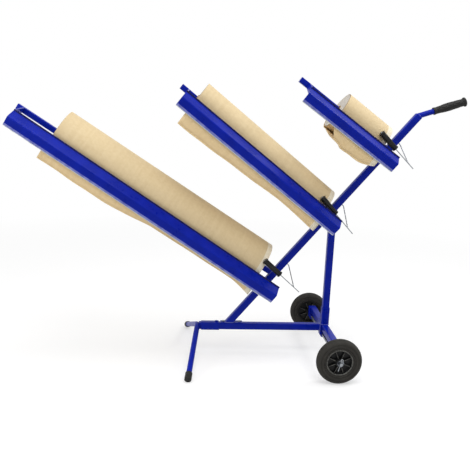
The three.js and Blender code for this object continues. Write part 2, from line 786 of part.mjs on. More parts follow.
// End plate: it fills the inside of the bar's section at the bar's outer end and
// runs back to the front face of the arm
function endPlate(arm) {
  const end = rollEnd(arm) + arm.barSpare;
  const inside = offsetPath(barPath(), barSheet + gap).slice(2);
  const barSide = inside.map(([x, y]) => [x + edgeHeight(arm, end), y - barDepth]);
  const armFace = -armSide / 2 - gap;
  const outline = polygon([[armSide / 2, armFace], [-armSide / 2, armFace], ...barSide]);
  const plate = extrude(outline, endPlateThickness).translate(0, 0, end - gap - endPlateThickness);
  return armMesh('end_plate', arm, plate, bluePaint);
}

// Tape holder: a spool that turns on a straight wire, and a bent stay that
// carries the wire and swings in a hole in the mast. At rest the spool lies
// on the paper roll, and it swings up and away from it.

const wireRadius = wireDiameter / 2;

function spoolCentre(arm) {
  const reach = arm.rollDiameter / 2 + spoolDiameter / 2 + 2 * gap;
  const depth = Math.sqrt(reach ** 2 - (arm.spoolRise + rollHang) ** 2);
  return new THREE.Vector3(arm.spoolRise, -depth, spoolOut);
}

function wirePoint(arm, distance) {
  const tilt = wireTilt * degree;
  const along = new THREE.Vector3(-Math.sin(tilt), 0, -Math.cos(tilt));
  return along.multiplyScalar(distance).add(spoolCentre(arm));
}

function tapeSpool(arm) {
  const bore = wireRadius + gap;
  const half = spoolLength / 2;
  const outer = spoolDiameter / 2;
  const waist = spoolWaist / 2;
  const inner = half - spoolFlange;
  const profile = [[bore, -half], [outer, -half], [outer, -inner], [waist, -inner], [waist, inner],
    [outer, inner], [outer, half], [bore, half], [bore, -half]];
  const centre = spoolCentre(arm);
  const spool = turned(profile, spoolSides).rotateY(wireTilt * degree);
  return armMesh('tape_spool', arm, spool.translate(centre.x, centre.y, centre.z), blackPlastic);
}

function tapeHolder(arm) {
  const half = spoolLength / 2;
  const upperEnd = wirePoint(arm, -half - gap - wireCapHeight);
  const lowerEnd = wirePoint(arm, half + wireReach);
  const joint = wirePoint(arm, half + wireJoint);
  const elbow = mastPoint(arm, tubeSide / 2 + stayProud, arm.pivotRise);
  const inside = mastPoint(arm, -stayInside, arm.pivotRise);
  const cap = capsule(upperEnd, wirePoint(arm, -half - gap), wireCap / 2);
  const wires = [[upperEnd, lowerEnd], [joint, elbow], [elbow, inside]]
    .map(([from, to]) => capsule(from, to, wireRadius));
  const bends = [joint, elbow].map((place) => ball(place, wireRadius));
  return armMesh('tape_holder', arm, join(...wires, ...bends, cap), zinc);
}

function armPieces(arm) {
  const makers = [mandrel, rollCore, paperRoll, paperTail, cutterBar, cutterBlade, barBracket, endPlate,
    tapeSpool, tapeHolder];
  return makers.map((make) => make(arm));
}

// The whole dispenser, with its origin on the floor under the middle of its box

function build() {
  const pieces = new THREE.Group();
  pieces.add(
    baseTube(), frontSocket(), footTube(), footCap(-1, 'foot_cap_near'), footCap(1, 'foot_cap_far'),
    axleBeam(), beamPlug(-1, 'beam_plug_near'), beamPlug(1, 'beam_plug_far'), axleRod(),
    axleEye(-(beamLength - eyeWidth) / 2, 'axle_eye_near'), axleEye(0, 'axle_eye_middle'),
    axleEye((beamLength - eyeWidth) / 2, 'axle_eye_far'),
    wheelBody(-1, 'wheel_near'), wheelBody(1, 'wheel_far'), tyre(-1, 'tyre_near'), tyre(1, 'tyre_far'),
    washer(-1, 'washer_near'), washer(1, 'washer_far'),
    splitPin(-1, 'split_pin_near'), splitPin(1, 'split_pin_far'),
    mastPlate(), mastScrew(0, 'mast_screw_front'), mastScrew(1, 'mast_screw_rear'), mast(),
    strutSocket(), strutScrew(0, 'strut_screw_lower'), strutScrew(1, 'strut_screw_upper'), strut(),
    handleTube(), handleGrip(),
    ...dispensers.flatMap(armPieces),
  );
  const bounds = new THREE.Box3().setFromObject(pieces, true);
  pieces.position.set(-(bounds.min.x + bounds.max.x) / 2, -(bounds.min.y + bounds.max.y) / 2, -bounds.min.z);
  return new THREE.Group().add(pieces);
}

export default build();
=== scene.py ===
"""Masking paper dispenser: a raked mast on two wheels with three paper rolls, folded cutter
bars and tape holders. Metres, in the packed model's frame: +Z up, +X towards the wheels and
the handle, +Y away from the side that carries the cutter bars."""

import json
import math

import bmesh
import bpy
from mathutils import Matrix, Vector, geometry, noise


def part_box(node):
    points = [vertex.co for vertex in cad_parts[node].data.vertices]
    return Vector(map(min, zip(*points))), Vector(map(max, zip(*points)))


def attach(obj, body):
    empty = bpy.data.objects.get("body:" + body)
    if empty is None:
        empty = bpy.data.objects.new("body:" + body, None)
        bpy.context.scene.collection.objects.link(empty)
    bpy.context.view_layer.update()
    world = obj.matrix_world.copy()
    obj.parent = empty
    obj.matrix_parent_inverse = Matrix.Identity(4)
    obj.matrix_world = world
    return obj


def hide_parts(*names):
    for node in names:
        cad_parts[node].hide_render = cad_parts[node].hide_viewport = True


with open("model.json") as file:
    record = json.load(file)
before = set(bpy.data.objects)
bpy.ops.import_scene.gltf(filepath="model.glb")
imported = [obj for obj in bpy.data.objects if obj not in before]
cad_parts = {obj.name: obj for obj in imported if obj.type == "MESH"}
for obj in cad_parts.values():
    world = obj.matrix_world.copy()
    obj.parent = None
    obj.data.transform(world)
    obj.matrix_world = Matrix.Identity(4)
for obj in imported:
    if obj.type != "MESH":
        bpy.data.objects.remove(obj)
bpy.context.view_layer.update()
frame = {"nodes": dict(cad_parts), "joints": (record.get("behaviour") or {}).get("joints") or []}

bl_info = {
    "name": "Masking paper dispenser",
    "version": (1, 0, 0),
    "blender": (4, 5, 0),
    "location": "3D View > Sidebar > Dispenser",
    "description": "Dresses the packed model of a wheeled masking paper dispenser",
    "category": "Add Mesh",
}

SIZES = ("large", "medium", "small")
SIDES = {"near": -1, "far": 1}

# Metres: points nearer than this are one point, and touching solids keep this gap
MERGE = 2e-5
GAP = 0.0003

WHITE = (1, 1, 1)
UP = Vector((0, 0, 1))
AWAY = Vector((0, 1, 0))


# Colours and small helpers


def colour(code):
    """sRGB hex to linear red, green and blue."""
    parts = [int(code[i:i + 2], 16) / 255 for i in (1, 3, 5)]
    return tuple(c / 12.92 if c <= 0.04045 else ((c + 0.055) / 1.055) ** 2.4 for c in parts)


def joint(name):
    return next(j for j in frame["joints"] if j["name"] == name)


def joint_place(name):
    return Vector(joint(name)["pos_m"])


def joint_axis(name):
    return Vector(joint(name)["axis"]).normalized()


def frame_at(origin, along, side=AWAY):
    """Matrix of a frame at origin with Z along and Y near side."""
    z = Vector(along).normalized()
    x = Vector(side).cross(z).normalized()
    y = z.cross(x)
    turn = Matrix((x, y, z)).transposed().to_4x4()
    return Matrix.Translation(origin) @ turn


def arm_frame(size):
    """A roll's own frame: Z along its arm, away from the mast, from the middle of the roll."""
    name = f"roll_{size}_spin"
    return frame_at(joint_place(name), joint_axis(name))


def local_box(node, matrix):
    """Lowest and highest corner of a CAD node in another frame."""
    back = matrix.inverted()
    points = [back @ v.co for v in frame["nodes"][node].data.vertices]
    return (Vector(map(min, *points)), Vector(map(max, *points)))


# Sizes and colours that a user would change


def tone_setting(name, description, code):
    """Setting that holds a colour, given as sRGB hex."""
    return bpy.props.FloatVectorProperty(
        name=name, description=description, subtype="COLOR", size=3, min=0, max=1,
        default=colour(code))


def length_setting(name, description, default, low, high):
    """Setting that holds a length in metres."""
    return bpy.props.FloatProperty(
        name=name, description=description, default=default, min=low, max=high,
        unit="LENGTH", subtype="DISTANCE", precision=5)


class EnamelSettings(bpy.types.PropertyGroup):
    """Gloss enamel on the welded steel."""

    paint: tone_setting("Enamel", "Colour of the enamel", "#031E9E")
    # Pale enamel of the bars' lip and the weld beads: partly polish, partly painted highlight
    polish_and_highlight: tone_setting("Polished enamel and painted highlight", "Colour of the enamel where it is polished", "#8389CE")
    roughness: bpy.props.FloatProperty(
        name="Roughness", description="How dull the enamel is", min=0.05, max=1, default=0.3,
        subtype="FACTOR")
    bead: length_setting("Weld bead", "Radius of the weld beads", 0.0016, 0.0008, 0.004)


class PaperSettings(bpy.types.PropertyGroup):
    """Masking paper on the rolls and hanging from them."""

    sheet: tone_setting("Paper", "Colour of the paper", "#E0CBA2")
    fibre: tone_setting("Fibres", "Darker colour of the fibres and streaks", "#D6BF94")
    cut: tone_setting("Cut edges", "Colour of the rolls' cut ends", "#D9D2C4")
    band: tone_setting("Edge band", "Colour of the pale strip along the mast end", "#F0E6CE")
    band_width: length_setting("Band width", "Width of the pale strip", 0.019, 0.002, 0.06)
    thickness: length_setting(
        "Thickness", "Thickness of the hanging paper as drawn", 0.0004, 0.0001, 0.001)
    crumple: length_setting("Waves", "Height of the loose paper's waves", 0.0022, 0, 0.006)


class WheelSettings(bpy.types.PropertyGroup):
    """Tyres, rims and spokes."""

    rubber: tone_setting("Tyre rubber", "Colour of the tyres", "#2C2A26")
    rim: tone_setting("Rim", "Colour of the moulded rims", "#0D0D0E")
    spokes: bpy.props.IntProperty(
        name="Spokes", description="Number of spokes in each rim", default=8, min=3, max=16)
    spoke_width: length_setting("Spoke width", "Thickness of a spoke", 0.004, 0.002, 0.01)


class HolderSettings(bpy.types.PropertyGroup):
    """Tape spools and their wires."""

    wire: length_setting("Wire", "Diameter of the tape holder's wire", 0.0036, 0.002, 0.006)
    ribs: bpy.props.IntProperty(
        name="Ribs", description="Ribs along each spool", default=12, min=6, max=24)
    moulding: tone_setting("Moulding", "Colour of the moulded spools and plugs", "#0C0C0D")


class BladeSettings(bpy.types.PropertyGroup):
    """Toothed steel blades."""

    pitch: length_setting("Tooth pitch", "Distance from tooth to tooth", 0.003, 0.0015, 0.01)
    depth: length_setting("Tooth depth", "Depth of the teeth", 0.0012, 0.0003, 0.003)


class StageSettings(bpy.types.PropertyGroup):
    """Floor, lamps and camera."""

    lens: bpy.props.FloatProperty(
        name="Lens", description="Focal length in mm on a 36 mm sensor", default=45.957,
        min=10, max=300)
    daylight: bpy.props.FloatProperty(
        name="Room light", description="Strength of the light from all around", default=0.54,
        min=0, max=3)
    floor_glow: bpy.props.FloatProperty(
        name="Floor glow", description="White added to the floor where it is seen",
        default=0.50, min=0, max=1)


# Materials


def fill(tree, node, inputs):
    """Sets a node's inputs; one given a socket is linked to it. Colours are opaque."""
    for name, value in inputs.items():
        socket = node.inputs[name]
        if isinstance(value, bpy.types.NodeSocket):
            tree.links.new(value, socket)
        else:
            socket.default_value = (*value, 1) if socket.type == "RGBA" else value


def add_node(tree, kind, inputs=None, stops=(), **settings):
    """Adds a shader node with its settings and links. Stops are a ramp's places and colours."""
    node = tree.nodes.new("ShaderNode" + kind)
    for name, value in settings.items():
        setattr(node, name, value)
    fill(tree, node, inputs or {})
    if stops:
        for point, (place, tone) in zip(node.color_ramp.elements, stops):
            point.position = place
            point.color = (*tone, 1)
    return node


def new_material(name):
    material = bpy.data.materials.new(name)
    material.use_nodes = True
    tree = material.node_tree
    return material, tree, tree.nodes["Principled BSDF"]


def shade(tone, times=1, plus=0):
    """The same colour, lighter or darker."""
    return tuple(min(1, times * c + plus) for c in tone)


def blend(first, second, share):
    """Colour that lies a share of the way from the first to the second."""
    return tuple((1 - share) * a + share * b for a, b in zip(first, second))


def mottled(name, pattern, stops, roughness, specular=0.5, metallic=0, relief=(), stretch=()):
    """Material whose colour wanders between two stops with a noise, over a fine relief.

    Pattern is the noise's scale and detail. Relief is another noise's scale and detail, with its
    depth in metres and its strength. Roughness is a number, or how it follows the pattern.
    """
    material, tree, shader = new_material(name)
    place = add_node(tree, "TexCoord").outputs["Object"]
    if stretch:
        place = add_node(tree, "Mapping", {"Vector": place, "Scale": stretch}).outputs["Vector"]
    scale, detail = pattern
    wander = add_node(tree, "TexNoise", {
        "Vector": place, "Scale": scale, "Detail": detail}).outputs["Fac"]
    tone = add_node(tree, "ValToRGB", {"Fac": wander}, stops).outputs["Color"]
    if isinstance(roughness, dict):
        roughness = add_node(tree, "MapRange", {"Value": wander, **roughness}).outputs["Result"]
    fill(tree, shader, {"Base Color": tone, "Roughness": roughness,
                        "Specular IOR Level": specular, "Metallic": metallic})
    if relief:
        scale, detail, depth, strength = relief
        grain = add_node(tree, "TexNoise", {
            "Vector": place, "Scale": scale, "Detail": detail}).outputs["Fac"]
        bump = add_node(tree, "Bump", {
            "Height": grain, "Distance": depth, "Strength": strength})
        fill(tree, shader, {"Normal": bump.outputs["Normal"]})
    return material


def background_rays(tree):
    """1 for the rays that show the background: seen directly, mirrored or through glass."""
    rays = add_node(tree, "LightPath").outputs
    mirrored = add_node(tree, "Math", {
        0: rays["Is Camera Ray"], 1: rays["Is Glossy Ray"]}, operation="MAXIMUM")
    shows = add_node(tree, "Math", {
        0: mirrored.outputs["Value"], 1: rays["Is Transmission Ray"]}, operation="MAXIMUM")
    return shows.outputs["Value"]


def enamel():
    """Gloss enamel sprayed on welded steel: a deep even colour under a clear soft shine."""
    settings = bpy.context.scene.dispenser_enamel
    deep, pale = shade(settings.paint, 0.88), shade(settings.paint, 1.08, 0.001)
    dulled = {"From Min": 0.3, "From Max": 0.7, "To Min": settings.roughness - 0.04,
              "To Max": settings.roughness + 0.06}
    # Handling marks are 30 to 60 mm across. Orange peel is about 2 mm across and microns deep
    return mottled("Gloss enamel on steel", (26, 5), [(0.35, deep), (0.7, pale)], dulled, 0.11,
                   relief=(420, 1, 0.00002, 0.3))


def lip_polish_highlight_enamel():
    """Enamel that the paper has polished, paler and brighter with the gloss worn through, and
    painted paler still as the highlight along the lip.
    """
    settings = bpy.context.scene.dispenser_enamel
    part = blend(settings.paint, settings.polish_and_highlight, 0.45)
    # Polish and painted highlight come and go along the edge, every 20 mm or so
    return mottled("Polished enamel and painted highlight", (50, 4), [(0.35, part), (0.6, settings.polish_and_highlight)], 0.26, 0.4)


def hem_shade_enamel():
    """Enamel on the hem at the sheet's edge, painted dark as the shade along the bar's top edge.
    """
    # Near-black navy of the painted shade
    steel = colour("#14143C")
    part = blend(bpy.context.scene.dispenser_enamel.paint, steel, 0.65)
    # Darker and lighter patches of the painted shade, 10 to 15 mm long
    return mottled("Painted shade on the hem", (80, 4), [(0.35, steel), (0.65, part)], 0.5, 0.15)


def bead_highlight_enamel():
    """Enamel over the weld beads, painted paler as a highlight where their ripples catch the
    light.
    """
    settings = bpy.context.scene.dispenser_enamel
    material, tree, shader = new_material("Enamel on weld beads")
    # Painted highlight: the beads' enamel is mixed a share towards the pale colour
    tone = blend(settings.paint, settings.polish_and_highlight, 0.4)
    fill(tree, shader, {"Base Color": tone, "Roughness": 0.25})
    return material


def dulled_zinc():
    """Zinc plate of the washers, dulled nearly black by grease and rubbing."""
    # Smears 5 to 10 mm across
    return mottled("Dulled zinc plate", (120, 4),
                   [(0.4, colour("#2B2D33")), (0.65, colour("#8E9298"))], 0.35, metallic=1)


def zinc_plate():
    """Bright zinc plate on wire and fasteners: a cool metal with a soft cloudy shine."""
    # Clouds 5 mm across
    return mottled("Zinc plate on steel", (180, 4),
                   [(0.3, colour("#73777B")), (0.7, colour("#A9ADB1"))],
                   {"To Min": 0.26, "To Max": 0.48}, metallic=1)


def ground_steel():
    """Ground steel of the blades: bright, with fine grinding lines square to the edge."""
    # Grinding lines, drawn about 1 mm apart so that they show
    return mottled("Ground blade steel", (900, 3),
                   [(0.3, colour("#9EA3A8")), (0.7, colour("#C3C8CD"))], 0.38, metallic=0.85,
                   relief=(900, 3, 0.0001, 0.2), stretch=(1, 0.05, 0.05))


def moulded_plastic():
    """Black moulded polyamide: satin, with a fine spark-eroded grain."""
    moulding = bpy.context.scene.dispenser_holder.moulding
    # Dust lies in patches of 15 mm. The mould's grain is about 1 mm across
    return mottled("Moulded black polyamide", (60, 5),
                   [(0.4, moulding), (0.75, shade(moulding, plus=0.004))], 0.27, 0.3,
                   relief=(900, 2, 0.00012, 0.3))


def rim_plastic():
    """Rims moulded in black polypropylene: a little waxy, with road dust in the corners."""
    rim = bpy.context.scene.dispenser_wheels.rim
    # Dust lies in patches of 20 mm. The grain is 1 to 2 mm across
    return mottled("Moulded black polypropylene", (45, 6),
                   [(0.42, rim), (0.8, shade(rim, plus=0.006))], 0.42, 0.2,
                   relief=(700, 2, 0.0001, 0.25))


def scuffs_and_highlight_plastic():
    """The rims' outer edges and the spokes' faces: scuffed grey, and painted paler as the
    highlight that runs round the lip.
    """
    # Scuffs and painted highlight in patches 3 to 8 mm long
    return mottled("Scuffed polypropylene with painted highlight", (190, 5),
                   [(0.35, colour("#2A2A28")), (0.62, colour("#686762"))], 0.6,
                   relief=(190, 5, 0.0002, 0.4))


def tyre_rubber():
    """Solid black rubber: matt, greyed by dust, with a faint mottled bloom."""
    rubber = bpy.context.scene.dispenser_wheels.rubber
    # Bloom comes in patches of 25 mm. The pores of the skin are about 1 mm across
    return mottled("Solid tyre rubber", (38, 6),
                   [(0.3, shade(rubber, 0.72)), (0.72, shade(rubber, 1.3))], 0.78, 0.35,
                   relief=(1000, 2, 0.0003, 0.4))


def grip_rubber():
    """Soft vinyl of the grip and the foot caps: near black, satin, scuffed to grey in places."""
    # Scuffs 10 to 15 mm across, over a grain of about 1 mm
    return mottled("Dipped black vinyl", (70, 6),
                   [(0.35, colour("#181818")), (0.75, colour("#2E2D2C"))], 0.5, 0.2,
                   relief=(800, 2, 0.0001, 0.3))


def cardboard():
    """Spiral-wound grey-brown cardboard tube: matt, with soft fibres."""
    # Fibres about 4 mm long
    return mottled("Spiral-wound cardboard", (260, 6),
                   [(0.3, colour("#8C7048")), (0.7, colour("#B3966A"))], 0.9,
                   relief=(260, 6, 0.0003, 0.4))


def paper(name="Machine-glazed kraft paper", lift=(1, 1, 1)):
    """Brown machine-glazed kraft paper: matt, with streaks in the running direction."""
    settings = bpy.context.scene.dispenser_paper
    material, tree, shader = new_material(name)
    place = add_node(tree, "TexCoord").outputs["Object"]
    from_mast = add_node(tree, "Attribute", attribute_name="from_mast").outputs["Fac"]
    # Machine-glazed paper is even; faint streaks run with it, 15 mm or so apart
    streaks = add_node(tree, "TexNoise", {"W": from_mast, "Scale": 65, "Detail": 3},
                       noise_dimensions="1D").outputs["Fac"]
    # Cloudy formation of the sheet, 5 to 15 mm across
    cloud = add_node(tree, "TexNoise", {"Vector": place, "Scale": 90, "Detail": 6})
    both = add_node(tree, "Mix", {
        "Factor": 0.35, "A": cloud.outputs["Fac"], "B": streaks}).outputs["Result"]
    # A lift above 1 paints the sheet lighter: painted light
    fibre, sheet = (tuple(a * b for a, b in zip(tone, lift))
                    for tone in (settings.fibre, settings.sheet))
    body = add_node(tree, "ValToRGB", {"Fac": both}, [(0.28, fibre), (0.68, sheet)])
    # The band's edge is soft over the last millimetre or so
    banded = add_node(tree, "MapRange", {
        "Value": from_mast, "From Min": settings.band_width,
        "From Max": settings.band_width + 0.0012})
    tone = add_node(tree, "Mix", {
        "Factor": banded.outputs["Result"], "A": settings.band,
        "B": body.outputs["Color"]}, data_type="RGBA")
    fibres = add_node(tree, "TexNoise", {"Vector": place, "Scale": 600, "Detail": 3})
    bump = add_node(tree, "Bump", {
        "Height": fibres.outputs["Fac"], "Distance": 0.00015, "Strength": 0.3})
    fill(tree, shader, {"Base Color": tone.outputs["Result"], "Roughness": 0.62,
                        "Specular IOR Level": 0.3, "Normal": bump.outputs["Normal"]})
    return material


def loose_paper():
    """One loose sheet of the same paper, painted lighter and warmer for the light that comes
    through it.
    """
    # Painted light: the loose sheet's colours are lifted by 15, 10 and 3 per cent
    return paper("Loose sheet of kraft paper", (1.15, 1.1, 1.03))


def paper_edges():
    """Cut end of a roll: edges of thousands of turns, paler than the sheet, in faint rings."""
    cut = bpy.context.scene.dispenser_paper.cut
    material, tree, shader = new_material("Cut edges of wound paper")
    radius, inward = (
        add_node(tree, "Attribute", attribute_name=name).outputs["Fac"]
        for name in ("radius", "inward"))
    # Single turns are too fine to show, so the rings are drawn 1 to 3 mm apart
    rings = add_node(tree, "TexNoise", {"W": radius, "Scale": 700, "Detail": 5},
                     noise_dimensions="1D").outputs["Fac"]
    ringed = add_node(tree, "ValToRGB", {"Fac": rings},
                      [(0.3, shade(cut, 0.86)), (0.65, cut)])
    # The outermost turn stands a little loose, and a brown line of shade shows behind it
    loose = add_node(tree, "MapRange", {
        "Value": inward, "From Min": 0.0016, "From Max": 0.0036})
    tone = add_node(tree, "Mix", {
        "Factor": loose.outputs["Result"], "A": colour("#7C5F43"),
        "B": ringed.outputs["Color"]}, data_type="RGBA")
    bump = add_node(tree, "Bump", {
        "Height": rings, "Distance": 0.0004, "Strength": 0.4})
    fill(tree, shader, {"Base Color": tone.outputs["Result"], "Roughness": 0.85,
                        "Normal": bump.outputs["Normal"]})
    return material


made_finishes = {}


def finish_of(make):
    """The material that a function makes; it is made when a piece first asks for it."""
    if make not in made_finishes:
        made_finishes[make] = make()
    return made_finishes[make]


# Shapes


def turned(bm, profile, steps, closed=True):
    """Spins a profile of (radius, height) round Z. An open profile starts and ends on the axis."""
    points = [bm.verts.new((radius, 0, height)) for radius, height in profile]
    follow = points[1:] + points[:1] if closed else points[1:]
    lines = [bm.edges.new(pair) for pair in zip(points, follow)]
    bmesh.ops.spin(bm, geom=points + lines, axis=UP, cent=(0, 0, 0), angle=math.tau,
                   steps=steps, use_merge=True)
    bmesh.ops.remove_doubles(bm, verts=bm.verts, dist=1e-7)
    bmesh.ops.recalc_face_normals(bm, faces=bm.faces)


def mirrored(flank):
    """Profile of a flank and its mirror image. A point at height 0 is there once."""
    return [(radius, -height) for radius, height in flank if height] + flank[::-1]


def fins(bm, count, size, inner, ease, tips=(1, 1), first=0.0, ends=0):
    """Adds a ring of blocks round Z that start at a radius. Tips says how much of their width
    and height is left at the outer end, and ends is the material of their top and bottom."""
    mesh = bpy.data.meshes.new("fin")
    for index in range(count):
        fin = bmesh.new()
        bmesh.ops.create_cube(fin, size=1)
        bmesh.ops.scale(fin, vec=size, verts=fin.verts)
        outer = [vert for vert in fin.verts if vert.co.x > 0]
        bmesh.ops.scale(fin, vec=(1, *tips), verts=outer)
        bmesh.ops.bevel(fin, geom=fin.edges[:], offset=ease, segments=2, profile=0.5,
                        affect="EDGES", material=-1)
        for face in fin.faces:
            face.material_index = ends if abs(face.normal.z) > 0.95 else 0
        bmesh.ops.translate(fin, vec=(inner + size[0] / 2, 0, 0), verts=fin.verts)
        turn = Matrix.Rotation(math.tau * (index + first) / count, 4, "Z")
        bmesh.ops.transform(fin, matrix=turn, verts=fin.verts)
        fin.to_mesh(mesh)
        fin.free()
        bm.from_mesh(mesh)
    bpy.data.meshes.remove(mesh)


def swept(bm, path, radius, sides, ripple=0.0):
    """Extrudes a circle from point to point of a path, and caps both ends. With a ripple,
    every second ring is that much smaller, as in a weld bead."""
    ring = bmesh.ops.create_circle(bm, segments=sides, radius=radius)["verts"]
    first = frame_at(path[0], path[1] - path[0])
    bmesh.ops.transform(bm, matrix=first, verts=ring)
    edges = list({edge for vert in ring for edge in vert.link_edges})
    start = list(edges)
    heading = (path[1] - path[0]).normalized()
    for index in range(1, len(path)):
        onward = path[min(index + 1, len(path) - 1)] - path[index - 1]
        moved = bmesh.ops.extrude_edge_only(bm, edges=edges)["geom"]
        verts = [item for item in moved if isinstance(item, bmesh.types.BMVert)]
        edges = [item for item in moved if isinstance(item, bmesh.types.BMEdge)]
        bmesh.ops.translate(bm, vec=path[index] - path[index - 1], verts=verts)
        turn = heading.rotation_difference(onward.normalized()).to_matrix()
        bmesh.ops.rotate(bm, cent=path[index], matrix=turn, verts=verts)
        heading = onward.normalized()
        size = 1 - ripple if index % 2 else 1 / (1 - ripple)
        bmesh.ops.scale(bm, vec=(size, size, size), verts=verts,
                        space=Matrix.Translation(-path[index]))
    bmesh.ops.edgeloop_fill(bm, edges=start)
    bmesh.ops.edgeloop_fill(bm, edges=edges)
    bmesh.ops.recalc_face_normals(bm, faces=bm.faces)


def with_bends(points, reach, steps):
    """Rounds the corners of a path."""
    path = [points[0]]
    for before, corner, after in zip(points, points[1:], points[2:]):
        start = corner + (before - corner).normalized() * reach
        end = corner + (after - corner).normalized() * reach
        for step in range(steps + 1):
            share = step / steps
            path.append(start.lerp(corner, share).lerp(corner.lerp(end, share), share))
    return path + [points[-1]]


def part_way(value, start, end):
    """How far a value has come from start to end, from 0 to 1."""
    return min(max((value - start) / (end - start), 0), 1)


def cubic(here, after, enter, leave, share):
    """Point on a cubic from one value to the next, with the slopes at its two ends."""
    square, cube = share ** 2, share ** 3
    return (here * (2 * cube - 3 * square + 1) + after * (3 * square - 2 * cube)
            + enter * (cube - 2 * square + share) + leave * (cube - square))


def smooth_value(stops, place):
    """Value between (place, value) stops on a smooth curve through them."""
    count = len(stops)
    index = max(i for i in range(count - 1) if stops[i][0] <= place or i == 0)
    before, here, after, beyond = (
        stops[min(max(index + k, 0), count - 1)] for k in (-1, 0, 1, 2))
    span = after[0] - here[0]
    enter = (after[1] - before[1]) / (after[0] - before[0]) * span
    leave = (beyond[1] - here[1]) / (beyond[0] - here[0]) * span
    return cubic(here[1], after[1], enter, leave, part_way(place, here[0], after[0]))


def curve_point(points, share):
    """Point on the smooth curve through points, at a share of its steps."""
    place = share * (len(points) - 1)
    index = min(int(place), len(points) - 2)
    before, here, after, beyond = (
        points[min(max(index + k, 0), len(points) - 1)] for k in (-1, 0, 1, 2))
    return cubic(here, after, (after - before) / 2, (beyond - here) / 2, place - index)


def cad_shape(node):
    """A CAD node's loose triangles, merged and with its flat faces made whole."""
    bm = bmesh.new()
    bm.from_mesh(frame["nodes"][node].data)
    bmesh.ops.remove_doubles(bm, verts=bm.verts, dist=MERGE)
    bmesh.ops.dissolve_limit(bm, angle_limit=math.radians(0.4), verts=bm.verts, edges=bm.edges)
    return bm


def add_piece(name, bm, body, finish, stands_for=(), sharp=38, more=(),
              place=Matrix.Identity(4)):
    """Makes a piece of a bmesh: smooth, with edges kept where faces meet sharply."""
    bmesh.ops.transform(bm, matrix=place, verts=bm.verts)
    for face in bm.faces:
        face.smooth = True
    for edge in bm.edges:
        edge.smooth = edge.calc_face_angle(0) < math.radians(sharp)
    mesh = bpy.data.meshes.new(name)
    bm.to_mesh(mesh)
    bm.free()
    piece = bpy.data.objects.new(name, mesh)
    bpy.context.scene.collection.objects.link(piece)
    for material in (finish, *more):
        mesh.materials.append(finish_of(material))
    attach(piece, body)
    if stands_for:
        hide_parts(*stands_for)
    return piece


def dress(node, name, finish, body="frame", edge=0.0, sharp=38):
    """A merged copy of a CAD node stands for it, with its sharp edges eased."""
    piece = add_piece(name, cad_shape(node), body, finish, (node,), sharp)
    if edge:
        eased = piece.modifiers.new("Eased edges", "BEVEL")
        eased.width = edge
        eased.segments = 2
        eased.limit_method = "ANGLE"
        eased.angle_limit = math.radians(40)
        eased.harden_normals = True
    return piece


# Pieces


class MakeFrame(bpy.types.Operator):
    """Square tubes, sockets, straps and plates of the painted stand"""

    bl_idname = "dispenser.frame"
    bl_label = "Painted frame"

    def execute(self, context):
        nodes = ["base_tube", "front_socket", "axle_beam", "axle_eye_near", "axle_eye_middle",
                 "axle_eye_far", "mast_foot_plate", "mast", "strut_socket", "strut",
                 "handle_tube"]
        for size in SIZES:
            nodes += [f"mandrel_{size}", f"bar_bracket_{size}", f"end_plate_{size}"]
        for node in nodes:
            dress(node, f"{node}_steel", enamel)
        return {"FINISHED"}


class MakeLegs(bpy.types.Operator):
    """Front legs, bent from one round tube"""

    bl_idname = "dispenser.legs"
    bl_label = "Front legs"

    # Metres: the bend's place ahead of the axle and above the floor, and the feet's places ahead
    # of the bend and beside it
    AHEAD, HEIGHT = 0.485, 0.108
    RAKE, SPREAD = 0.035, 0.266
    # The tube's radius and bend, and how wide a foot cap is and how deep the flat of its sole
    RADIUS, BEND = 0.010, 0.028
    CAP_DIAMETER, CAP_FLAT = 0.025, 0.0016

    def execute(self, context):
        front = joint_place("wheel_near_spin").x - self.AHEAD
        # A rounded bend passes a little under its corner
        top = Vector((front, 0, self.HEIGHT + self.BEND / 6))
        rise = (self.CAP_DIAMETER - self.CAP_FLAT) / 2
        near, far = (Vector((front - self.RAKE, sign * self.SPREAD, rise))
                     for sign in SIDES.values())
        bm = bmesh.new()
        swept(bm, with_bends([near, top, far], self.BEND, steps=14), self.RADIUS, sides=32)
        add_piece("foot_tube_steel", bm, "frame", enamel, ("foot_tube",))
        for side in SIDES:
            dress(f"foot_cap_{side}", f"foot_cap_{side}_vinyl", grip_rubber, edge=0.0008)
        return {"FINISHED"}


